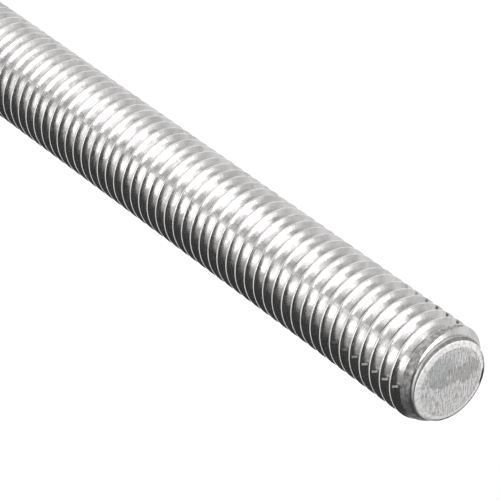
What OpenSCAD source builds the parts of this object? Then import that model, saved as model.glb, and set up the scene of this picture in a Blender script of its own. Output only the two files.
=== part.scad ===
// Fully threaded metric rod with a square-sawn, bevelled end at each side.
// All lengths are in millimetres and all angles in degrees.
// The rod stands on its lower end: its axis is +Z, and the origin is the middle of that end.

/* [Thread] */
// Nominal diameter of the thread, which names the nut that runs on it
nominal_d = 12; // [8:0.5:16]
// Distance from one crest to the next along the axis
pitch = 1.75; // [1.25:0.25:2.5]
// How much less the rod measures across its crests than the nominal diameter
running_allowance = 0.15; // [0.05:0.01:0.3]
// Angle between the two flanks of the groove
flank_angle = 60; // [55:1:65]

/* [Rod] */
// Length from one sawn face to the other
rod_len = 100; // [40:5:150]

/* [Ends] */
// How deep the bevel cuts in from the crests, along the radius
bevel_depth = 1.1; // [0.8:0.05:1.6]
// Slope from the rod's axis of the straight line between the bevel's two edges
bevel_angle = 33; // [20:1:50]
// How far the bevel is hollowed below that line
bevel_hollow = 0.18; // [0.06:0.02:0.18]
// Width of the deburred rim round the sawn face, along the radius
rim_w = 0.65; // [0.2:0.05:1]
// Slope of the rim from the sawn face
rim_slope = 10; // [5:1:30]

/* [Detail] */
// Most triangles in the helix, shared out evenly over its turns
helix_triangles = 9000; // [5000:500:12500]

/* [Hidden] */

// Thread form: a sharp triangle of height tri_h, with an eighth of it cut off at the crest
// and a sixth of it filled in at the root.
crest_r = (nominal_d - running_allowance) / 2;
tri_h = pitch / (2 * tan(flank_angle / 2));
apex_r = crest_r + tri_h / 8;
root_r = apex_r - tri_h * 5 / 6;
root_w = pitch / 6;

// One cycle of the thread as [radius, height above the ridge]: the ridge, then the groove's floor.
cycle = [
    [apex_r, 0],
    [root_r, (pitch - root_w) / 2],
    [root_r, (pitch + root_w) / 2],
];

// The helix starts and stops outside the rod, and the blank trims it to length.
spare_turns = 2;
turns = ceil(rod_len / pitch) + 2 * spare_turns;
sectors = floor(helix_triangles / (2 * len(cycle) * turns));
column_len = turns * len(cycle);

bevel_len = bevel_depth / tan(bevel_angle);
bevel_r = crest_r - bevel_depth;
rim_h = rim_w * tan(rim_slope);
face_r = bevel_r - rim_w;

// The bevel's section is an arc, which turns by this angle to each side of the line between its edges.
bevel_half_w = norm([bevel_len, bevel_depth]) / 2;
bevel_turn = 2 * atan(bevel_hollow / bevel_half_w);
bevel_arc_r = bevel_half_w / sin(bevel_turn);
bevel_steps = 4;
round_fn = 96;

// A point of the cycle after so many whole turns and sectors up the helix
function helix_point(turn, sector, p) =
    let (a = 360 * sector / sectors)
    [p[0] * cos(a), p[0] * sin(a), pitch * (turn - spare_turns + sector / sectors) + p[1]];

// All the points up one side of the helix, from the lowest turn to the highest
function column(sector) =
    [for (turn = [0 : turns - 1]) for (p = cycle) helix_point(turn, sector, p)];

// Number of a column's point. Past the last column comes the first one, a turn further up.
function id(sector, j) =
    sector < sectors ? sector * column_len + j : j + len(cycle);

// Solid ridge wound round the axis, right-handed, with sharp crests
module thread_form() {
    last = sectors - 1;
    low_middle = sectors * column_len;
    high_middle = low_middle + 1;
    points = concat(
        [for (sector = [0 : last]) each column(sector)],
        [[0, 0, -pitch * (spare_turns + 1)], [0, 0, pitch * (turns + 1)]]
    );
    // The last column has no neighbour at its topmost cycle, and the first none at its lowest.
    wall = [
        for (sector = [0 : last])
        for (j = [0 : column_len - 2 - (sector < last ? 0 : len(cycle))])
        each [
            [id(sector, j), id(sector, j + 1), id(sector + 1, j + 1)],
            [id(sector, j), id(sector + 1, j + 1), id(sector + 1, j)],
        ]
    ];
    low_end = concat(
        [for (sector = [0 : last]) [id(sector, 0), id(sector + 1, 0), low_middle]],
        [for (j = [0 : len(cycle) - 1]) [id(0, j + 1), id(0, j), low_middle]]
    );
    high_end = concat(
        [for (sector = [0 : last - 1])
            [id(sector + 1, column_len - 1), id(sector, column_len - 1), high_middle]],
        [for (j = [column_len - 1 - len(cycle) : column_len - 2])
            [id(last, j), id(last, j + 1), high_middle]],
        [[id(0, column_len - 1), id(last, column_len - 1 - len(cycle)), high_middle]]
    );
    polyhedron(points, concat(wall, low_end, high_end));
}

// Point of the bevel's arc as [radius, distance from the sawn face], from the rim to the crests
function bevel_point(step) =
    let (start = bevel_angle - bevel_turn, a = start + 2 * bevel_turn * step / bevel_steps)
    [
        bevel_r + bevel_arc_r * (cos(start) - cos(a)),
        rim_h + bevel_arc_r * (sin(a) - sin(start)),
    ];

// Plain round bar at crest size, bevelled at both ends, with a low rim round each sawn face
module blank() {
    half = [[face_r, 0], for (step = [0 : bevel_steps]) bevel_point(step)];
    rotate_extrude($fn = round_fn)
        polygon(concat(
            [[0, 0]],
            half,
            [for (i = [len(half) - 1 : -1 : 0]) [half[i][0], rod_len - half[i][1]]],
            [[0, rod_len]]
        ));
}

// The whole rod: the blank with the thread's groove cut into it
module threaded_rod() {
    color("silver")
        intersection() {
            blank();
            thread_form();
        }
}

threaded_rod();
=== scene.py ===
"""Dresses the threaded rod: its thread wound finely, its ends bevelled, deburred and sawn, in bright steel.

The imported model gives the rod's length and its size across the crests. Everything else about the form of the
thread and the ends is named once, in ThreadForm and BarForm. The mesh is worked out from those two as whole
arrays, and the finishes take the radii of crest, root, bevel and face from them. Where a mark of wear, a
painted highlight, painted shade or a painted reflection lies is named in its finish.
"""

from __future__ import annotations

import logging
import math
from dataclasses import dataclass
from enum import IntEnum
from functools import partial, reduce

import bpy
import numpy as np
from mathutils import Matrix, Vector

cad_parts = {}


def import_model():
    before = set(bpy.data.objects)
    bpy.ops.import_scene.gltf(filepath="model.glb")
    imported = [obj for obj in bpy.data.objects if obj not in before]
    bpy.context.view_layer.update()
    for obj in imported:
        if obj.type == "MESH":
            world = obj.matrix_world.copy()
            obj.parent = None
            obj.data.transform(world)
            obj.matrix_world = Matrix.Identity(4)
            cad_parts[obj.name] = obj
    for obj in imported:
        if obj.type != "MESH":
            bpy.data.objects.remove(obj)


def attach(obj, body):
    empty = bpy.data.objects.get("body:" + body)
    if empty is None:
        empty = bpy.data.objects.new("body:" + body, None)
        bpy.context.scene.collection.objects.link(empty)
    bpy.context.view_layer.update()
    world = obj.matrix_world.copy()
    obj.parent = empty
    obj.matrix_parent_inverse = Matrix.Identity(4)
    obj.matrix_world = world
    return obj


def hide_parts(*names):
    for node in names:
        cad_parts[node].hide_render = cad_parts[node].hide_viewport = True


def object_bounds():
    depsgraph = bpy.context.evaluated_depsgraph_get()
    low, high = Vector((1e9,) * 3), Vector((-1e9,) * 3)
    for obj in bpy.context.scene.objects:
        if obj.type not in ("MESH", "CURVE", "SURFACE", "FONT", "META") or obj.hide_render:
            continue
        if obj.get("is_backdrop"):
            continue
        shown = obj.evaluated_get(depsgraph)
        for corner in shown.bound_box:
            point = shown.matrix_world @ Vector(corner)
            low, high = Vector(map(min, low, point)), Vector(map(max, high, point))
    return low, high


LOG = logging.getLogger("threaded_rod")
MM = 0.001
TURN = 2 * math.pi
WHITE = (1.0, 1.0, 1.0, 1.0)

# A length in millimetres that makes no difference, and the grid in metres on which two points are one.
TINY = 1e-9
SAME_POINT = 1e-8

Colour = tuple[float, float, float, float]
Socket = bpy.types.NodeSocket
Sockets = bpy.types.bpy_prop_collection


class Finish(IntEnum):
    """Which finish a face of the rod has, in the order of the mesh's material slots."""

    ROLLED = 0
    TURNED = 1
    RIM = 2
    SAWN = 3


@dataclass(frozen=True)
class ThreadForm:
    """The rolled thread's section, in millimetres and degrees.

    The section repeats every pitch: a ridge with straight flanks, and a groove whose floor is an arc that
    touches both flanks. Flanks that met would make a sharp triangle: the crest stops short of its tip by
    one share of its height, and the arc's radius is another.
    """

    crest_r: float
    pitch: float = 1.75
    flank_angle: float = 60.0
    crest_share: float = 1 / 8
    arc_share: float = 1 / 6

    @property
    def half_angle(self) -> float:
        """Angle between a flank and a plane square to the axis, in radians."""
        return math.radians(self.flank_angle / 2)

    @property
    def slope(self) -> float:
        """Rise of a flank's radius for each millimetre along the axis."""
        return 1 / math.tan(self.half_angle)

    @property
    def sharp_height(self) -> float:
        """Height of the sharp triangle that the flanks would make if they met."""
        return self.pitch * self.slope / 2

    @property
    def sharp_root_r(self) -> float:
        """Radius at which the two flanks of a groove would meet."""
        return self.crest_r - (1 - self.crest_share) * self.sharp_height

    @property
    def root_round(self) -> float:
        """Radius of the arc in the groove's floor."""
        return self.sharp_height * self.arc_share

    @property
    def arc_centre_r(self) -> float:
        """Radius at which the floor's arc has its centre, so that it touches both flanks."""
        return self.sharp_root_r + self.root_round / math.sin(self.half_angle)

    @property
    def root_r(self) -> float:
        """Radius at the bottom of the groove."""
        return self.arc_centre_r - self.root_round

    @property
    def tangent_deg(self) -> float:
        """Half of the arc's angle, from the floor's middle to where it touches a flank."""
        return 90 - self.flank_angle / 2

    def radius(self, z: np.ndarray, angle: np.ndarray) -> np.ndarray:
        """Radius of the unlimited thread, its ridges still sharp.

        With u the distance from the nearest groove's middle, the floor is the arc, and past the point where
        that touches the flank the radius rises evenly with u.

        Args:
            z: Heights along the axis.
            angle: Angles about the axis, counted the way the right-hand thread climbs.

        Returns:
            The radius at each height and angle.
        """
        turns = z / self.pitch - angle / TURN
        u = self.pitch * (0.5 - np.abs(turns - np.round(turns)))
        tangent = self.root_round * math.sin(math.radians(self.tangent_deg))
        floor = self.arc_centre_r - np.sqrt(self.root_round**2 - np.minimum(u, tangent) ** 2)
        return np.where(u < tangent, floor, self.sharp_root_r + self.slope * u)


@dataclass(frozen=True)
class BarForm:
    """The bar that the thread is rolled on, bevelled and deburred at both ends, in millimetres and degrees.

    The bevel is a little hollow: its section is an arc below the straight line between its two edges.
    """

    length: float
    crest_r: float
    bevel_depth: float = 1.1
    bevel_angle: float = 33.0
    bevel_hollow: float = 0.18
    rim_w: float = 0.65
    rim_slope: float = 10.0
    edge_round: float = 0.14

    @property
    def bevel_r(self) -> float:
        """Radius at which the bevel meets the rim."""
        return self.crest_r - self.bevel_depth

    @property
    def bevel_len(self) -> float:
        """Length of the bevel along the axis."""
        return self.bevel_depth / math.tan(math.radians(self.bevel_angle))

    @property
    def bevel_half(self) -> float:
        """Half of the bevel's sloping width, straight from edge to edge."""
        return math.hypot(self.bevel_len, self.bevel_depth) / 2

    @property
    def face_r(self) -> float:
        """Radius of the sawn face inside the rim."""
        return self.bevel_r - self.rim_w

    @property
    def rim_h(self) -> float:
        """How far the rim falls back from the sawn face."""
        return self.rim_w * math.tan(math.radians(self.rim_slope))

    @property
    def bevel_end(self) -> float:
        """Distance from the sawn face at which the bevel reaches the crests."""
        return self.rim_h + self.bevel_len

    @property
    def bevel_start_deg(self) -> float:
        """Slope from the axis with which the bevel leaves the rim."""
        return self.bevel_angle - 2 * math.degrees(math.atan(self.bevel_hollow / self.bevel_half))

    @property
    def edge_turn_deg(self) -> float:
        """Angle that the surface turns by between the rim and the bevel."""
        return 90 - self.rim_slope - self.bevel_start_deg

    @property
    def edge_reach(self) -> float:
        """Distance from the sharp edge at which its rounding touches the rim and the bevel."""
        return self.edge_round * math.tan(math.radians(self.edge_turn_deg / 2))

    @property
    def wall_start(self) -> float:
        """Distance from the sawn face at which the edge's rounding ends and the bevel begins."""
        return self.rim_h + self.edge_reach * math.cos(math.radians(self.bevel_start_deg))

    def radius(self, z: np.ndarray) -> np.ndarray:
        """Radius of the bar: the crests' own, and less along a bevel.

        With c half the bevel's sloping width and h its hollow, the arc's radius is (c*c + h*h) / 2h. Its
        centre lies that less h outside the middle of the straight line between the bevel's edges.

        Args:
            z: Heights along the axis, between the two rims.

        Returns:
            The radius at each height.
        """
        arc = (self.bevel_half**2 + self.bevel_hollow**2) / (2 * self.bevel_hollow)
        lean = math.radians(self.bevel_angle)
        centre_x = self.bevel_len / 2 - (arc - self.bevel_hollow) * math.sin(lean)
        centre_r = self.bevel_r + self.bevel_depth / 2 + (arc - self.bevel_hollow) * math.cos(lean)
        from_end = np.clip(np.minimum(z, self.length - z) - self.rim_h, 0, self.bevel_len)
        return centre_r - np.sqrt(arc**2 - (from_end - centre_x) ** 2)


@dataclass(frozen=True)
class Patch:
    """Triangles of one stretch of the surface: corner vertex numbers, corner normals and finishes."""

    corners: np.ndarray
    normals: np.ndarray
    finish: np.ndarray


@dataclass(frozen=True)
class ThreadedRod:
    """The rod: one closed mesh of a wound thread between two sawn ends, with sizes in millimetres.

    Columns run along the rod and rows round it. The blend rounds the edge between thread and bar. The rim's
    inner edge is softened, and wanders in a few slow waves that start elsewhere at each end. The probes are
    the shares of a stretch, and the angle, over which the surface's slopes are taken.
    """

    bar: BarForm
    thread: ThreadForm
    columns: int = 112
    edge_blend: float = 0.06
    arc_steps: int = 3
    edge_steps: int = 4
    face_rings: int = 10
    face_soft: float = 0.05
    rim_wander: float = 0.025
    rim_waves: tuple[int, ...] = (2, 3, 5, 9)
    upper_phase: float = 1.7
    lower_phase: float = 4.1
    near_probe: float = 0.02
    far_probe: float = 0.12
    turn_probe: float = 1e-4

    @property
    def rows_per_ridge(self) -> int:
        """Rows of each ridge: the arc's steps on both sides, and the eight that row_heights names."""
        return 2 * self.arc_steps + 8

    def section(self, z: np.ndarray, angle: np.ndarray) -> np.ndarray:
        """Radius of the finished rod: the smaller of thread and bar, with the edge between them rounded.

        Where the two differ by less than the blend, a parabola joins them.

        Args:
            z: Heights along the axis.
            angle: Angles about the axis.

        Returns:
            The radius at each height and angle.
        """
        thread, bar = self.thread.radius(z, angle), self.bar.radius(z)
        share = np.clip(0.5 + (bar - thread) / (2 * self.edge_blend), 0, 1)
        return bar + (thread - bar) * share - self.edge_blend * share * (1 - share)

    def flank_reach(self, groove_z: np.ndarray, side: int) -> np.ndarray:
        """Distance from a groove's middle at which its flank meets the bar's surface.

        The flank climbs faster than any bevel, so halving the interval finds the one crossing.

        Args:
            groove_z: Heights of the grooves' middles.
            side: 1 for the flank above the groove, -1 for the one below it.

        Returns:
            The distance along the axis for each groove.
        """
        halvings = 40
        low = np.zeros_like(groove_z)
        high = np.full_like(groove_z, self.thread.pitch / 2)
        for _ in range(halvings):
            mid = (low + high) / 2
            flank = self.thread.radius(mid - self.thread.pitch / 2, np.zeros(1))
            inside = flank < self.bar.radius(groove_z + side * mid)
            low, high = np.where(inside, mid, low), np.where(inside, high, mid)
        return low

    def row_heights(self, angle: np.ndarray) -> np.ndarray:
        """Heights of the mesh's rows at each angle.

        Every ridge has the same rows: the middle of the groove below it, the steps of that groove's arc,
        three for each rounded edge, one on top, and the steps of the next groove's arc. They follow the
        helix, and near an end they slide to where the bevel cuts the ridge.

        Args:
            angle: Angles of the columns.

        Returns:
            Heights, one row of the array for each angle.
        """
        pitch, bar = self.thread.pitch, self.bar
        ridge = np.arange(-1, math.ceil(bar.length / pitch) + 1)
        middle = pitch * (ridge[None, :] + angle[:, None] / TURN)
        below, above = middle - pitch / 2, middle + pitch / 2
        steps = np.radians(np.arange(1, self.arc_steps + 1) * self.thread.tangent_deg / self.arc_steps)
        arc = self.thread.root_round * np.sin(steps)
        blend = self.edge_blend / self.thread.slope
        low = below + self.flank_reach(below, 1)
        high = above - self.flank_reach(above, -1)
        top = (low + high) / 2
        for kink in (bar.bevel_end, bar.length - bar.bevel_end):
            top = np.where((low < kink) & (kink < high), kink, top)
        rows = [below]
        rows += [np.minimum(below + step, np.maximum(low - blend, below)) for step in arc]
        rows += [np.maximum(low - blend, below), low, np.minimum(low + blend, top), top]
        rows += [np.maximum(high - blend, top), high, np.minimum(high + blend, above)]
        rows += [np.maximum(above - step, np.minimum(high + blend, above)) for step in arc[::-1]]
        heights = np.stack(rows, axis=2).reshape(len(angle), -1)
        return np.clip(heights, bar.wall_start, bar.length - bar.wall_start)

    def wall_normals(self, z: np.ndarray, angle: np.ndarray, toward: np.ndarray) -> np.ndarray:
        """Outward normals of the wall, taken just inside the stretch that a corner belongs to.

        For a surface whose radius is f(z, a) the normal is the radial direction, less df/dz along the axis
        and less (df/da)/f round it.

        Args:
            z: Heights of the corners.
            angle: Angles of the corners.
            toward: Height of the other end of each corner's stretch.

        Returns:
            Unit normals, three numbers a corner.
        """
        near, far = z + self.near_probe * (toward - z), z + self.far_probe * (toward - z)
        span = np.where(np.abs(far - near) < TINY, 1, far - near)
        along = (self.section(far, angle) - self.section(near, angle)) / span
        middle, turn = (near + far) / 2, self.turn_probe
        aside = (self.section(middle, angle + turn) - self.section(middle, angle - turn)) / (2 * turn)
        aside = aside / self.section(middle, angle)
        cos, sin = np.cos(angle), np.sin(angle)
        normal = np.stack([cos + aside * sin, sin - aside * cos, -along], axis=-1)
        return normal / np.linalg.norm(normal, axis=-1, keepdims=True)

    def wall(self) -> tuple[np.ndarray, Patch, np.ndarray, np.ndarray]:
        """Builds the thread and the bevels.

        The point of a row and column lies at the section's radius, at its height and angle. The last column
        is the first again, one ridge on, because the thread has climbed a pitch by then.

        Returns:
            The points, their triangles, and the point numbers of the lower and the upper edge.
        """
        angle = np.arange(self.columns + 1) * TURN / self.columns
        z = self.row_heights(angle)
        rows = z.shape[1]
        a = np.broadcast_to(angle[:, None], z.shape)
        r = self.section(z, a)
        points = np.stack([r * np.cos(a), r * np.sin(a), z], axis=-1)[:-1].reshape(-1, 3)

        first = (z <= self.bar.wall_start).sum(axis=1) - 1
        last = rows - (z >= self.bar.length - self.bar.wall_start).sum(axis=1)
        column, row = np.meshgrid(np.arange(self.columns + 1), np.arange(rows), indexing="ij")
        seam = column == self.columns
        home = np.where(seam, 0, column)
        row = np.clip(np.where(seam, row + self.rows_per_ridge, row), first[home], last[home])
        number = home * rows + row

        upward = self.wall_normals(z[:, :-1], a[:, :-1], z[:, 1:])
        downward = self.wall_normals(z[:, 1:], a[:, 1:], z[:, :-1])
        quads = (number[:-1, :-1], number[1:, :-1], number[1:, 1:], number[:-1, 1:])
        quad_normals = (upward[:-1], upward[1:], downward[1:], downward[:-1])
        mid_z = (z[:-1, :-1] + z[1:, 1:]) / 2
        mid_a = (a[:-1, :-1] + a[1:, 1:]) / 2
        bar_r = self.bar.radius(mid_z)
        cut = (bar_r < self.bar.crest_r - TINY) & (self.thread.radius(mid_z, mid_a) > bar_r)
        patch = triangles(quads, quad_normals, np.where(cut, Finish.TURNED, Finish.ROLLED))
        ring = np.arange(self.columns) * rows
        return points, patch, ring + first[:-1], ring + last[:-1]

    def edge_arc(self) -> tuple[np.ndarray, np.ndarray, np.ndarray]:
        """Section of the rounding between the bevel and the rim, from the bevel inwards.

        It is an arc that touches both. A point whose normal leans by t from the axis lies the arc's radius
        out from the centre, along that normal.

        Returns:
            Radii, distances from the sawn face, and the normals' angles from the axis in radians.
        """
        bar = self.bar
        tilt = math.radians(bar.rim_slope)
        start_r = bar.bevel_r - bar.edge_reach * math.cos(tilt)
        start_drop = bar.rim_h - bar.edge_reach * math.sin(tilt)
        centre_r = start_r - bar.edge_round * math.sin(tilt)
        centre_drop = start_drop + bar.edge_round * math.cos(tilt)
        lean = tilt + np.radians(bar.edge_turn_deg) * np.linspace(1, 0, self.edge_steps + 1)
        return centre_r + bar.edge_round * np.sin(lean), centre_drop - bar.edge_round * np.cos(lean), lean

    def end_face(self, start: int, edge: np.ndarray, top: bool) -> tuple[np.ndarray, Patch]:
        """Builds a rounded edge, a rim and the sawn face, as rings from the bevel to a middle point.

        The rim's inner edge wanders a little round the circle, as a hand-deburred one does: its radius is
        the face's, changed by a few slow waves. A ring to each side of it softens it.

        Args:
            start: Number that the first new point gets.
            edge: Point numbers of the bevel's edge, one a column.
            top: True for the upper end.

        Returns:
            The new points and the triangles.
        """
        count, tilt = self.columns, math.radians(self.bar.rim_slope)
        angle = np.arange(count) * TURN / count
        phase = self.upper_phase if top else self.lower_phase
        waves = sum(np.sin(k * (angle + phase)) / k for k in self.rim_waves)
        inner = self.bar.face_r + self.rim_wander * waves
        arc_r, arc_drop, lean = self.edge_arc()
        share = np.linspace(1, 0, self.face_rings + 1)[:-1, None]
        arc_rings = np.repeat(arc_r[1:, None], count, axis=1)
        radius = np.vstack([arc_rings, inner + self.face_soft, share * (inner - self.face_soft)])
        drop = np.concatenate([arc_drop[1:], [self.face_soft * math.tan(tilt)], np.zeros(self.face_rings)])
        z = np.broadcast_to((self.bar.length - drop if top else drop)[:, None], radius.shape)
        ring = np.stack([radius * np.cos(angle), radius * np.sin(angle), z], axis=-1).reshape(-1, 3)
        points = np.vstack([ring, [[0, 0, self.bar.length if top else 0]]])

        number = start + np.arange(len(ring)).reshape(-1, count)
        grid = np.vstack([edge, number, np.full(count, start + len(ring))])
        leans = np.concatenate([lean, [tilt], np.zeros(self.face_rings + 1)])[:, None]
        upward = np.broadcast_to(np.cos(leans) if top else -np.cos(leans), grid.shape)
        normal = np.stack([np.cos(angle) * np.sin(leans), np.sin(angle) * np.sin(leans), upward], axis=-1)
        right = np.roll(np.arange(count), -1)
        quads = (grid[:-1], grid[:-1, right], grid[1:, right], grid[1:])
        normals = (normal[:-1], normal[:-1, right], normal[1:, right], normal[1:])
        if not top:
            quads, normals = quads[::-1], normals[::-1]
        finish = np.full(grid[:-1].shape, Finish.SAWN)
        finish[: self.edge_steps + 2] = Finish.RIM
        return points, triangles(quads, normals, finish)

    def build(self) -> bpy.types.Object:
        """Puts the wall and both ends together as one closed mesh.

        Returns:
            The rod's object, in metres.
        """
        points, wall, low_edge, high_edge = self.wall()
        patches = [wall]
        for edge, top in ((low_edge, False), (high_edge, True)):
            added, patch = self.end_face(len(points), edge, top)
            points = np.vstack([points, added])
            patches.append(patch)
        return closed_mesh("rod", points * MM, patches)

    def dress(self, rod: bpy.types.Object) -> None:
        """Gives the rod its finishes, in the order of Finish.

        Args:
            rod: The rod's object.
        """
        effects = SteelEffects()
        bar = self.bar
        for kind in (RolledSteel(bar, self.thread), TurnedSteel(bar), RimSteel(bar), SawnSteel(bar)):
            rod.data.materials.append(kind.material(effects))


def triangles(quads: tuple[np.ndarray, ...], normals: tuple[np.ndarray, ...], finish: np.ndarray) -> Patch:
    """Splits a grid of quads into triangles.

    Args:
        quads: Four arrays of point numbers, the corners of each quad in turn, seen from outside.
        normals: Four arrays of the corners' normals.
        finish: The finish of each quad.

    Returns:
        The triangles.
    """
    order = ((0, 1, 2), (0, 2, 3))
    corners = np.concatenate([np.stack([quads[k].ravel() for k in pick], axis=1) for pick in order])
    split = [np.stack([normals[k].reshape(-1, 3) for k in pick], axis=1) for pick in order]
    return Patch(corners, np.concatenate(split), np.tile(finish.ravel(), 2))


def placed(name: str, data: bpy.types.ID) -> bpy.types.Object:
    """Makes an object and puts it into the scene.

    Args:
        name: The object's name.
        data: Its mesh, lamp or camera.

    Returns:
        The object.
    """
    obj = bpy.data.objects.new(name, data)
    bpy.context.scene.collection.objects.link(obj)
    return obj


def closed_mesh(name: str, points: np.ndarray, patches: list[Patch]) -> bpy.types.Object:
    """Makes a mesh object of patches, joining points that coincide and leaving out empty triangles.

    Args:
        name: The object's name.
        points: Points, in metres.
        patches: The patches, whose finishes are the material slots.

    Returns:
        The object, in the scene.
    """
    corners = np.concatenate([patch.corners for patch in patches])
    normals = np.concatenate([patch.normals for patch in patches])
    finish = np.concatenate([patch.finish for patch in patches])
    place = np.round(points / SAME_POINT)
    _, keep, joined = np.unique(place, axis=0, return_index=True, return_inverse=True)
    corners = joined.ravel()[corners]
    a, b, c = corners.T
    real = (a != b) & (b != c) & (c != a)
    corners, normals, finish = corners[real], normals[real], finish[real]
    used, compact = np.unique(corners, return_inverse=True)
    points, corners = points[keep][used], compact.reshape(-1, 3)

    mesh = bpy.data.meshes.new(name)
    mesh.vertices.add(len(points))
    mesh.vertices.foreach_set("co", points.ravel())
    mesh.loops.add(corners.size)
    mesh.loops.foreach_set("vertex_index", corners.ravel())
    mesh.polygons.add(len(corners))
    mesh.polygons.foreach_set("loop_start", np.arange(0, corners.size, 3))
    mesh.polygons.foreach_set("material_index", finish)
    mesh.update(calc_edges=True)
    mesh.shade_smooth()
    mesh.normals_split_custom_set(normals.reshape(-1, 3))
    LOG.info("%s: %d points, %d triangles", name, len(points), len(corners))
    return placed(name, mesh)


class Graph:
    """Adds shader nodes to one tree and joins them.

    Where a method takes an object, that is a value, or the socket that feeds one.
    """

    def __init__(self, tree: bpy.types.NodeTree) -> None:
        """Keeps the tree, emptied of whatever it came with."""
        self.tree = tree
        tree.nodes.clear()

    @classmethod
    def of(cls, owner: bpy.types.ID, *rest: object) -> Graph:
        """Starts the graph of a material, world or lamp."""
        owner.use_nodes = True
        return cls(owner.node_tree, *rest)

    def node(self, kind: str, inputs: dict | None = None, **settings: object) -> bpy.types.Node:
        """Adds a node.

        Args:
            kind: The node's type name.
            inputs: Input name or number to a value, or to the socket that feeds it.
            **settings: The node's own properties.

        Returns:
            The node.
        """
        made = self.tree.nodes.new(kind)
        for name, value in settings.items():
            setattr(made, name, value)
        for name, value in (inputs or {}).items():
            self.give(made.inputs[name], value)
        return made

    def give(self, socket: Socket, value: object) -> None:
        """Joins an input to another socket, or sets its value.

        Args:
            socket: The input.
            value: The socket that feeds it, or a value.
        """
        if isinstance(value, Socket):
            self.tree.links.new(value, socket)
        else:
            socket.default_value = value

    def math(self, operation: str, *values: object) -> Socket:
        """Adds a Math node and returns its output."""
        return self.node("ShaderNodeMath", dict(enumerate(values)), operation=operation).outputs[0]

    def product(self, first: object, *others: object) -> Socket:
        """Multiplies values and returns the result."""
        return reduce(partial(self.math, "MULTIPLY"), others, first)

    def vector(self, operation: str, *values: object) -> bpy.types.Node:
        """Adds a Vector Math node."""
        return self.node("ShaderNodeVectorMath", dict(enumerate(values)), operation=operation)

    def scaled(self, vector: object, scale: object) -> Socket:
        """Scales a vector and returns the result."""
        return self.node("ShaderNodeVectorMath", {0: vector, "Scale": scale}, operation="SCALE").outputs[0]

    def turned(self, vector: object, angle: object) -> Socket:
        """Turns a vector about Z, by an angle in radians, and returns the result."""
        inputs = {"Vector": vector, "Angle": angle}
        return self.node("ShaderNodeVectorRotate", inputs, rotation_type="Z_AXIS").outputs[0]

    def parts(self, vector: Socket) -> Sockets:
        """Splits a vector and returns the outputs X, Y and Z."""
        return self.node("ShaderNodeSeparateXYZ", {0: vector}).outputs

    def mix(self, factor: object, first: object, second: object) -> Socket:
        """Adds a colour Mix node and returns its output."""
        inputs = {0: factor, 6: first, 7: second}
        return self.node("ShaderNodeMix", inputs, data_type="RGBA", clamp_factor=True).outputs[2]

    def blend(self, factor: object, first: object, second: object) -> Socket:
        """Adds a number Mix node and returns its output."""
        return self.node("ShaderNodeMix", {0: factor, 2: first, 3: second}, data_type="FLOAT").outputs[0]

    def ramp(self, value: object, low: object, high: object, to_low: float = 0, to_high: float = 1) -> Socket:
        """Maps a value smoothly from one span to another and returns the output."""
        inputs = {0: value, 1: low, 2: high, 3: to_low, 4: to_high}
        return self.node("ShaderNodeMapRange", inputs, interpolation_type="SMOOTHSTEP").outputs[0]

    def step(self, value: object, edge: float, soft: float, falls: bool = False) -> Socket:
        """Makes a mask that rises past an edge, or falls past it, over a softness to both sides."""
        return self.ramp(value, edge - soft, edge + soft, *((1, 0) if falls else (0, 1)))

    def spot(self) -> Socket:
        """Adds the Object coordinates and returns them in millimetres."""
        return self.scaled(self.node("ShaderNodeTexCoord").outputs["Object"], 1 / MM)

    def off_axis(self, spot: Socket) -> tuple[Socket, Socket]:
        """Returns the part of a position that is square to the axis, and its length."""
        flat = self.vector("MULTIPLY", spot, (1.0, 1.0, 0.0)).outputs[0]
        return flat, self.vector("LENGTH", flat).outputs["Value"]


def new_group(name: str, inputs: dict[str, float], outputs: list[str]) -> tuple[Graph, Sockets, Sockets]:
    """Starts a node group with float sockets.

    Args:
        name: The group's name.
        inputs: Input names and their usual values.
        outputs: Output names.

    Returns:
        The graph to fill, the outputs that give the group's inputs, and the inputs that take its outputs.
    """
    tree = bpy.data.node_groups.new(name, "ShaderNodeTree")
    for label, value in inputs.items():
        socket = tree.interface.new_socket(name=label, in_out="INPUT", socket_type="NodeSocketFloat")
        socket.default_value = value
    for label in outputs:
        tree.interface.new_socket(name=label, in_out="OUTPUT", socket_type="NodeSocketFloat")
    graph = Graph(tree)
    return graph, graph.node("NodeGroupInput").outputs, graph.node("NodeGroupOutput").inputs


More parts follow.
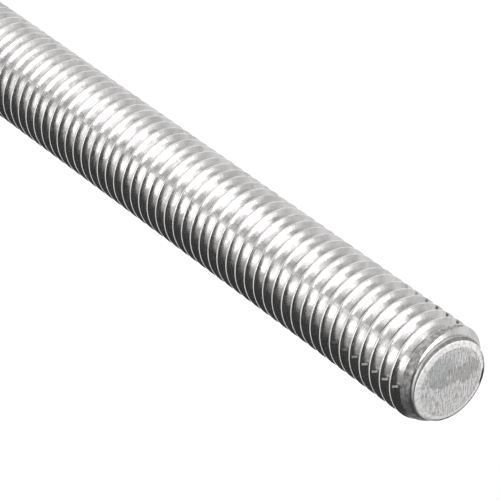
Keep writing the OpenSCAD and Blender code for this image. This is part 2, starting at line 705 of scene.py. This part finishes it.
class SteelEffects:
    """Node groups that the rod's finishes share. All read Object coordinates, in millimetres inside."""

    def __init__(self) -> None:
        """Builds each group once."""
        self.round_streaks = self.make_round_streaks()
        self.patches = self.make_patches()
        self.around = self.make_around()

    def make_round_streaks(self) -> bpy.types.NodeTree:
        """Fine marks that run round the axis, as rolling dies and lathe tools leave.

        The pattern is noise over the point's direction from the axis, stretched by Reach, and over its
        radius plus a share of its height, divided by Spacing. It has no seam, because a direction has none.

        Returns:
            The group.
        """
        usual = {"Spacing": 0.1, "Reach": 4.0, "Detail": 2.0}
        graph, given, out = new_group("round_streaks", usual, ["Height"])
        height_share = 0.31
        spot = graph.spot()
        flat, radius = graph.off_axis(spot)
        around = graph.scaled(graph.vector("NORMALIZE", flat).outputs[0], given["Reach"])
        section = graph.math("MULTIPLY_ADD", graph.parts(spot)["Z"], height_share, radius)
        lift = graph.node("ShaderNodeCombineXYZ", {"Z": graph.math("DIVIDE", section, given["Spacing"])})
        vector = graph.vector("ADD", around, lift.outputs[0]).outputs[0]
        inputs = {"Vector": vector, "Scale": 1.0, "Detail": given["Detail"]}
        graph.give(out["Height"], graph.node("ShaderNodeTexNoise", inputs).outputs[0])
        return graph.tree

    def make_patches(self) -> bpy.types.NodeTree:
        """Soft uneven patches: slow noise, cut to a mask by a smooth step of the given width.

        Returns:
            The group.
        """
        graph, given, out = new_group("patches", {"Size": 2.0, "Level": 0.5, "Softness": 0.1}, ["Mask"])
        scale = graph.math("DIVIDE", 1.0, given["Size"])
        inputs = {"Vector": graph.spot(), "Scale": scale, "Detail": 3.0}
        noise = graph.node("ShaderNodeTexNoise", inputs).outputs[0]
        low = graph.math("SUBTRACT", given["Level"], given["Softness"])
        high = graph.math("ADD", given["Level"], given["Softness"])
        graph.give(out["Mask"], graph.ramp(noise, low, high))
        return graph.tree

    def make_around(self) -> bpy.types.NodeTree:
        """Where a point lies round the axis.

        Radius is its distance from the axis, Facing the cosine between its direction and Bearing, Beside
        how far it is off the line at Bearing, and Height its place along the axis.

        Returns:
            The group.
        """
        names = ["Radius", "Facing", "Beside", "Height"]
        graph, given, out = new_group("around", {"Bearing": 0.0}, names)
        spot = graph.spot()
        parts = graph.parts(graph.turned(spot, graph.product(given["Bearing"], -1.0)))
        radius = graph.off_axis(spot)[1]
        facing = graph.math("DIVIDE", parts["X"], radius)
        beside = graph.math("ABSOLUTE", parts["Y"])
        for name, value in zip(names, (radius, facing, beside, parts["Z"])):
            graph.give(out[name], value)
        return graph.tree


class SteelGraph(Graph):
    """The graph of a steel finish, which places the node groups that the finishes share."""

    def __init__(self, tree: bpy.types.NodeTree, effects: SteelEffects) -> None:
        """Keeps the tree and the shared groups."""
        super().__init__(tree)
        self.effects = effects

    def group(self, tree: bpy.types.NodeTree, **inputs: float) -> Sockets:
        """Places a node group, with values for its inputs by lower-case name, and returns its outputs."""
        values = {name.capitalize(): value for name, value in inputs.items()}
        return self.node("ShaderNodeGroup", values, node_tree=tree).outputs

    def streaks(self, **inputs: float) -> Socket:
        """Places the marks that run round the axis and returns their height, from 0 to 1."""
        return self.group(self.effects.round_streaks, **inputs)["Height"]

    def patches(self, **inputs: float) -> Socket:
        """Places the soft uneven patches and returns their mask."""
        return self.group(self.effects.patches, **inputs)["Mask"]

    def around(self, bearing: float = 0.0) -> Sockets:
        """Returns the outputs that say where a point lies round the axis, from a bearing in degrees."""
        return self.group(self.effects.around, bearing=math.radians(bearing))


@dataclass(frozen=True)
class SteelFinish:
    """A finish of the rod's steel. Each kind works out its own colour, roughness and relief."""

    name = "steel"
    bar: BarForm

    def surface(self, graph: SteelGraph) -> tuple[Socket, Socket, Socket]:
        """Works out the finish over the surface.

        Args:
            graph: The graph to add to.

        Returns:
            The colour, the roughness, and the relief in millimetres.
        """
        raise NotImplementedError

    def material(self, effects: SteelEffects) -> bpy.types.Material:
        """Makes the material, which is metal all over.

        Args:
            effects: The shared node groups.

        Returns:
            The material.
        """
        material = bpy.data.materials.new(self.name)
        graph = SteelGraph.of(material, effects)
        tone, rough, relief = self.surface(graph)
        bump = graph.node("ShaderNodeBump", {"Height": relief, "Strength": 1.0, "Distance": MM}).outputs[0]
        inputs = {"Base Color": tone, "Metallic": 1.0, "Roughness": rough, "Normal": bump}
        shader = graph.node("ShaderNodeBsdfPrincipled", inputs)
        graph.node("ShaderNodeOutputMaterial", {"Surface": shader.outputs[0]})
        return material


@dataclass(frozen=True)
class PaintedLightMark:
    """A mark of painted light across the turns nearest the upper end, all in one line along the rod.

    A light mark is a painted highlight and a dark one painted shade. It lies on the flanks between two radii.
    From its start it keeps its full strength down to one distance from the upper end, and is gone at another.
    """

    bearing: float
    half_width: float
    inner_r: float
    outer_r: float
    colour: Colour
    roughness: float
    soft: float = 0.06
    start: float = 0.0
    full: float = 6.0
    gone: float = 16.0

    def mask(self, graph: SteelGraph, length: float) -> Socket:
        """Makes the mark's mask.

        Args:
            graph: The graph to add to.
            length: The rod's length.

        Returns:
            The mask.
        """
        place = graph.around(self.bearing)
        from_end = graph.math("SUBTRACT", length, place["Height"])
        return graph.product(
            graph.step(place["Beside"], self.half_width, self.soft, falls=True),
            graph.step(place["Radius"], self.inner_r, self.soft),
            graph.step(place["Radius"], self.outer_r, self.soft, falls=True),
            graph.math("GREATER_THAN", place["Facing"], 0.0),
            graph.math("GREATER_THAN", from_end, self.start),
            graph.ramp(from_end, self.full, self.gone, 1, 0),
        )


@dataclass(frozen=True)
class RolledSteel(SteelFinish):
    """The thread: bright, burnished on the ridges, a little duller and darker down in the grooves, which is
    painted shade.

    The spans are the depths under the crest between which the burnish ends, and the heights over the root
    between which the groove's painted shade ends. Rolling leaves fine marks along the thread and slow waves
    under them. Where the bevel opens the last groove, its floor is frayed, and a thin torn line runs beside
    it.
    """

    name = "rolled_steel"
    thread: ThreadForm
    bright: Colour = (0.66, 0.651, 0.647, 1)
    dull: Colour = (0.54, 0.531, 0.528, 1)
    # Colour of the painted shade down in the grooves.
    groove: Colour = (0.46, 0.451, 0.448, 1)
    frayed: Colour = (0.42, 0.414, 0.41, 1)
    torn: Colour = (0.07, 0.067, 0.065, 1)
    ridge_span: tuple[float, float] = (0.02, 0.12)
    groove_shade_span: tuple[float, float] = (0.03, 0.4)
    frayed_len: float = 1.25
    torn_r: float = 4.97
    mark_depth: float = 0.009
    wave_depth: float = 0.012
    painted_light_marks: tuple[PaintedLightMark, ...] = (
        # A painted highlight: light and rough, where glints stand along the last turns.
        PaintedLightMark(139.0, 0.14, 5.2, 5.74, (0.97, 0.96, 0.95, 1), 0.65),
        # Painted shade: dark, near the crests of the last turns.
        PaintedLightMark(11.0, 0.27, 5.5, 5.83, (0.11, 0.10, 0.095, 1), 0.45, soft=0.12, start=3.0),
    )

    def surface(self, graph: SteelGraph) -> tuple[Socket, Socket, Socket]:
        """Works out the rolled surface, then its frayed ends, then the marks of painted highlight and painted
        shade.

        Args:
            graph: The graph to add to.

        Returns:
            The colour, the roughness, and the relief in millimetres.
        """
        place = graph.around()
        crest_r, root_r = self.bar.crest_r, self.thread.root_r
        ridge = graph.ramp(place["Radius"], crest_r - self.ridge_span[1], crest_r - self.ridge_span[0])
        # Mask of the painted shade in the grooves: 1 near the root, 0 higher up the flanks.
        groove = graph.ramp(place["Radius"], root_r + self.groove_shade_span[0], root_r + self.groove_shade_span[1], 1, 0)
        patch = graph.patches(size=1.6, level=0.54, softness=0.1)
        fine = graph.streaks(spacing=0.16, reach=5.0, detail=3.0)
        wave = graph.streaks(spacing=0.9, reach=14.0, detail=1.0)
        tone = graph.mix(patch, self.bright, self.dull)
        # Painted shade down in the grooves, broken by the fine marks.
        shade = graph.product(groove, graph.ramp(fine, 0.3, 0.7, 0.9, 0.4))
        tone = graph.mix(shade, tone, self.groove)
        rough = graph.ramp(fine, 0.25, 0.75, 0.17, 0.27)
        rough = graph.math("MULTIPLY_ADD", patch, 0.05, rough)
        rough = graph.math("MULTIPLY_ADD", ridge, -0.02, rough)

        half = self.bar.length / 2
        off_middle = graph.math("ABSOLUTE", graph.math("SUBTRACT", place["Height"], half))
        at_end = graph.step(off_middle, half - self.frayed_len, soft=0.2)
        floor = graph.product(at_end, graph.step(place["Radius"], self.torn_r, soft=0.04, falls=True))
        tone = graph.mix(graph.product(floor, graph.ramp(fine, 0.38, 0.58, 1, 0.3)), tone, self.frayed)
        rough = graph.math("MULTIPLY_ADD", floor, 0.28, rough)
        off_line = graph.math("ABSOLUTE", graph.math("SUBTRACT", place["Radius"], self.torn_r))
        broken = graph.ramp(fine, 0.4, 0.55, 1, 0.4)
        line = graph.product(at_end, graph.ramp(off_line, 0.02, 0.06, 0.9, 0), broken)
        tone = graph.mix(line, tone, self.torn)

        # Painted highlight and painted shade on the turns nearest the upper end.
        for painted_light_mark in self.painted_light_marks:
            mask = painted_light_mark.mask(graph, self.bar.length)
            tone = graph.mix(mask, tone, painted_light_mark.colour)
            rough = graph.blend(mask, rough, painted_light_mark.roughness)
        marks = graph.product(fine, self.mark_depth)
        return tone, rough, graph.math("MULTIPLY_ADD", wave, self.wave_depth, marks)


@dataclass(frozen=True)
class TurnedSteel(SteelFinish):
    """The bevel: matt and grey, mottled, with fine tool marks round it, and painted shade towards the rim.

    The painted shade reaches a little way from the rim, and is darkest on the side of the shade's bearing.
    """

    name = "turned_steel"
    light: Colour = (0.5, 0.494, 0.492, 1)
    dark: Colour = (0.2, 0.197, 0.195, 1)
    # Colour of the painted shade near the rim.
    shade: Colour = (0.13, 0.127, 0.125, 1)
    shade_bearing: float = 155.0
    shade_reach: float = 0.295
    mark_depth: float = 0.025

    def surface(self, graph: SteelGraph) -> tuple[Socket, Socket, Socket]:
        """Works out the turned surface, then its painted shade.

        Args:
            graph: The graph to add to.

        Returns:
            The colour, the roughness, and the relief in millimetres.
        """
        marks = graph.streaks(spacing=0.14, reach=10.0, detail=3.0)
        patch = graph.patches(size=0.5, level=0.5, softness=0.12)
        lines = graph.ramp(marks, 0.36, 0.62, 0, 0.6)
        tone = graph.mix(graph.math("MULTIPLY_ADD", patch, 0.4, lines), self.dark, self.light)
        # Painted shade: darker near the rim all round, darkest on the side of its bearing.
        place = graph.around(self.shade_bearing)
        inner = graph.step(place["Radius"], self.bar.bevel_r + self.shade_reach, soft=0.12, falls=True)
        shade = graph.product(inner, graph.ramp(place["Facing"], 0.3, 0.8, 0.5, 0.85))
        tone = graph.mix(shade, tone, self.shade)
        return tone, graph.ramp(patch, 0, 1, 0.66, 0.56), graph.product(marks, self.mark_depth)


@dataclass(frozen=True)
class RimSteel(SteelFinish):
    """The deburred rim: light and matt, with short marks that run round it.

    A broken line of painted shade follows part of its outer edge, and painted shade marks a dent that breaks
    the edge at one place. Their widths are counted inwards from that edge.
    """

    name = "deburred_steel"
    light: Colour = (0.97, 0.961, 0.958, 1)
    dark: Colour = (0.74, 0.731, 0.728, 1)
    # Colour of the painted shade along the edge and in the dent.
    edge_shade: Colour = (0.04, 0.038, 0.037, 1)
    edge_shade_bearing: float = 270.0
    edge_shade_width: float = 0.265
    dent_bearing: float = 307.0
    dent_width: float = 0.445
    mark_depth: float = 0.018

    def surface(self, graph: SteelGraph) -> tuple[Socket, Socket, Socket]:
        """Works out the deburred surface, then its painted edge shade and the painted shade of its dent.

        Args:
            graph: The graph to add to.

        Returns:
            The colour, the roughness, and the relief in millimetres.
        """
        marks = graph.streaks(spacing=0.14, reach=14.0, detail=3.0)
        patch = graph.patches(size=0.4, level=0.42, softness=0.14)
        shine = graph.product(patch, graph.ramp(marks, 0.3, 0.55, 0.5, 1))
        tone = graph.mix(shine, self.dark, self.light)
        # Painted shade: a broken dark line along the outer edge, strongest on the side of its bearing.
        place = graph.around(self.edge_shade_bearing)
        outer = graph.step(place["Radius"], self.bar.bevel_r - self.edge_shade_width, soft=0.05)
        broken = graph.ramp(marks, 0.35, 0.55, 1, 0.55)
        line = graph.product(graph.ramp(place["Facing"], -0.1, 0.7), outer, broken)
        tone = graph.mix(line, tone, self.edge_shade)
        # Painted shade of a dent in the edge, at one bearing.
        place = graph.around(self.dent_bearing)
        outer = graph.step(place["Radius"], self.bar.bevel_r - self.dent_width, soft=0.06)
        dent = graph.product(graph.ramp(place["Facing"], 0.968, 0.992), outer)
        tone = graph.mix(dent, tone, self.edge_shade)
        return tone, graph.ramp(marks, 0.3, 0.7, 0.8, 0.7), graph.product(marks, self.mark_depth)


@dataclass(frozen=True)
class PaintedReflection:
    """A painted reflection, cool or warm, on a sawn end: where it lies, how far it reaches, its turn and its
    colour.
    """

    x: float
    y: float
    half_x: float
    half_y: float
    turn: float
    colour: Colour

    def mask(self, graph: SteelGraph, ragged: Socket) -> Socket:
        """Makes the painted reflection's mask: an ellipse with a ragged edge.

        Args:
            graph: The graph to add to.
            ragged: Disturbance of the edge, about -0.5 to 0.5.

        Returns:
            The mask.
        """
        off = graph.vector("SUBTRACT", graph.spot(), (self.x, self.y, 0.0)).outputs[0]
        turned = graph.turned(off, -math.radians(self.turn))
        scaled = graph.vector("MULTIPLY", turned, (1 / self.half_x, 1 / self.half_y, 0.0)).outputs[0]
        distance = graph.vector("LENGTH", scaled).outputs["Value"]
        return graph.ramp(graph.math("ADD", distance, ragged), 0.7, 1.05, 1, 0)


@dataclass(frozen=True)
class SawnSteel(SteelFinish):
    """The sawn ends: matt, with long straight marks all one way, cool and warm painted reflections, and small
    nicks.

    A thin darker border of painted reflection runs inside the rim, between the two insets of its span.
    """

    name = "sawn_steel"
    plain: Colour = (0.52, 0.511, 0.51, 1)
    pale: Colour = (0.86, 0.851, 0.85, 1)
    # Colour of the nicks, and of the painted border inside the rim.
    nick_and_painted_border: Colour = (0.16, 0.154, 0.152, 1)
    saw_angle: float = -50.0
    stroke_len: float = 0.9
    stroke_gap: float = 0.16
    end_share: float = 0.7
    mark_depth: float = 0.045
    painted_reflection_strength: float = 0.6
    nick_strength: float = 0.7
    border_strength: float = 0.55
    border_span: tuple[float, float] = (0.04, 0.14)
    # Cool and warm areas of painted reflection.
    painted_reflections: tuple[PaintedReflection, ...] = (
        PaintedReflection(0.0, 2.4, 2.9, 2.3, -20.0, (0.46, 0.475, 0.485, 1)),
        PaintedReflection(-0.9, 1.1, 2.1, 0.8, -50.0, (0.37, 0.38, 0.385, 1)),
        PaintedReflection(1.9, -0.7, 3.2, 1.5, -38.0, (0.39, 0.365, 0.36, 1)),
    )

    def saw_marks(self, graph: Graph) -> Socket:
        """Straight marks all one way: noise over the end, tight across the stroke and long along it.

        A share of the height enters it too, so that the two ends differ.

        Args:
            graph: The graph to add to.

        Returns:
            The marks' height, from 0 to 1.
        """
        turned = graph.turned(graph.spot(), math.radians(self.saw_angle))
        scale = (1 / self.stroke_len, 1 / self.stroke_gap, self.end_share)
        vector = graph.vector("MULTIPLY", turned, scale).outputs[0]
        inputs = {"Vector": vector, "Scale": 1.0, "Detail": 4.0, "Roughness": 0.6}
        return graph.node("ShaderNodeTexNoise", inputs).outputs[0]

    def surface(self, graph: SteelGraph) -> tuple[Socket, Socket, Socket]:
        """Works out the sawn surface, then its painted reflections, nicks and painted border.

        Args:
            graph: The graph to add to.

        Returns:
            The colour, the roughness, and the relief in millimetres.
        """
        marks = self.saw_marks(graph)
        coarse = graph.patches(size=0.9, level=0.5, softness=0.2)
        nicks = graph.patches(size=0.2, level=0.62, softness=0.04)
        ragged = graph.math("MULTIPLY_ADD", marks, 1.2, -0.6)
        ragged = graph.math("MULTIPLY_ADD", coarse, 0.25, ragged)
        tone = graph.mix(graph.ramp(marks, 0.4, 0.57), self.plain, self.pale)
        # Painted reflection: cool and warm areas over the saw marks.
        for painted_reflection in self.painted_reflections:
            mask = graph.product(painted_reflection.mask(graph, ragged), self.painted_reflection_strength)
            tone = graph.mix(mask, tone, painted_reflection.colour)
        tone = graph.mix(graph.product(nicks, self.nick_strength), tone, self.nick_and_painted_border)
        # Painted reflection: a thin darker border inside the rim.
        near, far = (self.bar.face_r - inset for inset in self.border_span)
        border = graph.ramp(graph.around()["Radius"], far, near, 0, self.border_strength)
        tone = graph.mix(border, tone, self.nick_and_painted_border)
        return tone, graph.ramp(marks, 0.3, 0.7, 0.55, 0.42), graph.product(marks, self.mark_depth)


@dataclass(frozen=True)
class Card:
    """A flat thing that stands round the rod: a softbox where it lights, a dark card where it shades.

    The bearing is counted in degrees from the camera's side, anticlockwise seen from above, and the
    elevation is seen from the rod's middle. The half angles are what the card covers from there. Fade is
    the share of each half over which the card thins out towards its edges.
    """

    name: str
    bearing: float
    elevation: float
    half_width: float
    half_height: float
    level: float
    distance: float = 0.9
    fade: float = 0.2

    @property
    def size(self) -> tuple[float, float]:
        """Width and height, in metres."""
        half = (self.half_width, self.half_height)
        return tuple(2 * self.distance * math.tan(math.radians(angle)) for angle in half)

    def pose(self, camera_side: float, middle: Vector) -> Matrix:
        """Where the card stands, with its face to the rod.

        Args:
            camera_side: Direction of the camera's side about Z, in degrees.
            middle: The rod's middle.

        Returns:
            The card's matrix, whose -Z looks at the rod.
        """
        turn = math.radians(camera_side + self.bearing)
        rise = math.radians(self.elevation)
        away = Vector((math.cos(turn) * math.cos(rise), math.sin(turn) * math.cos(rise), math.sin(rise)))
        matrix = away.to_track_quat("Z", "Y").to_matrix().to_4x4()
        matrix.translation = middle + away * self.distance
        return matrix

    def mask(self, graph: Graph, across: Socket) -> Socket:
        """Makes a mask that is 1 in the card's middle and falls to 0 at its edges.

        Args:
            graph: The graph to add to.
            across: Position on the card, from -1 to 1 each way.

        Returns:
            The mask.
        """
        parts = graph.parts(across)
        sides = [graph.math("ABSOLUTE", parts[axis]) for axis in "XY"]
        return graph.product(*[graph.ramp(side, 1 - self.fade, 1, 1, 0) for side in sides])


@dataclass(frozen=True)
class Studio:
    """A white tent with a pale floor, three softboxes, and dark cards that give bright steel its contrast.

    The floor lies a hair under the rod's lower end, so that the two surfaces stay apart. Its glow is what
    it adds for the camera and for mirror images, on top of the light that it returns.
    """

    camera_side: float = 93.5
    floor_radius: float = 0.15
    floor_sides: int = 64
    floor_z: float = -0.00003
    floor_tone: float = 0.80
    floor_glow: float = 0.42
    softboxes: tuple[Card, ...] = (
        Card("key_softbox", -73, 70, 21, 15.5, 2.8, fade=0.25),
        Card("left_softbox", -39, -9, 25, 10, 3.3, fade=0.25),
        Card("right_softbox", 27, -1, 19, 21, 3.8, fade=0.25),
    )
    flags: tuple[Card, ...] = (
        Card("side_flag", 107, 28, 45, 62, 0.05, 0.7),
        Card("rear_flag", -147, 18, 52, 52, 0.93),
        Card("edge_flag", -113, 38, 15, 13, 0.66, 0.8, fade=0.6),
        Card("lens_flag", 8, 52, 10, 27, 0.18, 0.8),
        Card("low_flag", -27, 23, 21, 22, 0.02, 0.7),
    )

    def tent(self) -> None:
        """Makes the white surroundings, of strength 1, which is white."""
        world = bpy.data.worlds.new("white_tent")
        bpy.context.scene.world = world
        graph = Graph.of(world)
        white = graph.node("ShaderNodeBackground", {"Color": WHITE, "Strength": 1.0})
        graph.node("ShaderNodeOutputWorld", {"Surface": white.outputs[0]})

    def floor(self) -> None:
        """Makes the floor: a pale disc that shows white and keeps the rod's shadow."""
        angle = np.arange(self.floor_sides) * TURN / self.floor_sides
        x, y = np.cos(angle) * self.floor_radius, np.sin(angle) * self.floor_radius
        ring = np.stack([x, y, np.full(self.floor_sides, self.floor_z)], axis=1)
        mesh = bpy.data.meshes.new("floor")
        mesh.from_pydata(ring.tolist(), [], [list(range(self.floor_sides))])
        material = bpy.data.materials.new("pale_floor")
        graph = Graph.of(material)
        matt = graph.node("ShaderNodeBsdfDiffuse", {"Color": (*[self.floor_tone] * 3, 1)})
        path = graph.node("ShaderNodeLightPath").outputs
        seen = graph.math("MAXIMUM", path["Is Camera Ray"], path["Is Glossy Ray"])
        seen = graph.math("MAXIMUM", seen, path["Is Transmission Ray"])
        level = graph.product(seen, self.floor_glow)
        glow = graph.node("ShaderNodeEmission", {"Color": WHITE, "Strength": level})
        both = graph.node("ShaderNodeAddShader", {0: matt.outputs[0], 1: glow.outputs[0]})
        graph.node("ShaderNodeOutputMaterial", {"Surface": both.outputs[0]})
        mesh.materials.append(material)
        floor = placed("floor", mesh)
        floor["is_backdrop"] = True

    def lamp(self, card: Card, middle: Vector) -> None:
        """Makes a softbox: an area lamp whose power is its level times its area times pi.

        Args:
            card: The softbox.
            middle: The rod's middle.
        """
        data = bpy.data.lights.new(card.name, "AREA")
        data.shape = "RECTANGLE"
        data.size, data.size_y = card.size
        data.energy = math.pi * data.size * data.size_y * card.level
        graph = Graph.of(data)
        place = graph.node("ShaderNodeNewGeometry").outputs["Parametric"]
        across = graph.vector("MULTIPLY_ADD", place, (2.0, 2.0, 0.0), (-1.0, -1.0, 0.0)).outputs[0]
        glow = graph.node("ShaderNodeEmission", {"Strength": card.mask(graph, across)})
        graph.node("ShaderNodeOutputLight", {"Surface": glow.outputs[0]})
        lamp = placed(card.name, data)
        lamp.matrix_world = card.pose(self.camera_side, middle)
        lamp.visible_camera = False

    def flag(self, card: Card, middle: Vector) -> None:
        """Makes a dark card, which the rod mirrors and the camera sees past.

        Args:
            card: The dark card.
            middle: The rod's middle.
        """
        half_x, half_y = card.size[0] / 2, card.size[1] / 2
        corners = [(-half_x, -half_y, 0), (half_x, -half_y, 0), (half_x, half_y, 0), (-half_x, half_y, 0)]
        mesh = bpy.data.meshes.new(card.name)
        mesh.from_pydata(corners, [], [(0, 1, 2, 3)])
        material = bpy.data.materials.new(card.name)
        graph = Graph.of(material)
        place = graph.node("ShaderNodeTexCoord").outputs["Object"]
        across = graph.vector("DIVIDE", place, (half_x, half_y, 1.0)).outputs[0]
        tone = graph.node("ShaderNodeEmission", {"Color": WHITE, "Strength": card.level})
        clear = graph.node("ShaderNodeBsdfTransparent")
        inputs = {0: card.mask(graph, across), 1: clear.outputs[0], 2: tone.outputs[0]}
        both = graph.node("ShaderNodeMixShader", inputs)
        graph.node("ShaderNodeOutputMaterial", {"Surface": both.outputs[0]})
        mesh.materials.append(material)
        flag = placed(card.name, mesh)
        flag.matrix_world = card.pose(self.camera_side, middle)
        flag.visible_camera = False
        flag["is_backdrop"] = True

    def build(self, middle: Vector) -> None:
        """Makes the tent, the floor, the softboxes and the dark cards.

        Args:
            middle: The rod's middle.
        """
        self.tent()
        self.floor()
        for card in self.softboxes:
            self.lamp(card, middle)
        for card in self.flags:
            self.flag(card, middle)


@dataclass(frozen=True)
class ProductCamera:
    """A long lens that looks down past the rod's upper end, rolled so that the rod lies across the picture.

    Angles are in degrees and distances in millimetres, but the clipping distances are in metres.
    """

    lens: float = 213.3
    sensor: float = 36.0
    azimuth: float = 183.5
    elevation: float = 43.12
    roll: float = 125.89
    distance: float = 316.5
    end_right: float = 21.45
    end_below: float = 14.08
    clip_start: float = 0.01
    clip_end: float = 20.0

    def place(self, upper_end: Vector) -> None:
        """Makes the camera so that the upper end appears right of and below the middle of the picture.

        Args:
            upper_end: Middle of the upper end, in metres.
        """
        a, e = math.radians(self.azimuth), math.radians(self.elevation)
        back = Vector((math.sin(a) * math.cos(e), -math.cos(a) * math.cos(e), math.sin(e)))
        level = Vector((math.cos(a), math.sin(a), 0))
        rolled = Matrix.Rotation(math.radians(self.roll), 3, back)
        right, up = rolled @ level, rolled @ back.cross(level)
        data = bpy.data.cameras.new("product_camera")
        data.lens, data.sensor_width = self.lens, self.sensor
        data.clip_start, data.clip_end = self.clip_start, self.clip_end
        turn = Matrix((right, up, back)).transposed().to_4x4()
        spot = upper_end + MM * (back * self.distance - right * self.end_right + up * self.end_below)
        camera = placed("product_camera", data)
        camera.matrix_world = Matrix.Translation(spot) @ turn
        bpy.context.scene.camera = camera


def main() -> None:
    """Builds the rod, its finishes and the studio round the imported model."""
    logging.basicConfig(level=logging.INFO, format="%(name)s: %(message)s")
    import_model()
    low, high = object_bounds()
    bar = BarForm(length=(high.z - low.z) / MM, crest_r=(high.x - low.x) / 2 / MM)
    threaded_rod = ThreadedRod(bar, ThreadForm(crest_r=bar.crest_r))
    rod = threaded_rod.build()
    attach(rod, "root")
    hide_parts("threaded_rod")
    threaded_rod.dress(rod)
    ProductCamera().place(Vector((0, 0, high.z)))
    Studio().build((low + high) / 2)
    bpy.context.scene.view_settings.view_transform = "Standard"
    low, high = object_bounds()


if __name__ == "__main__":
    main()
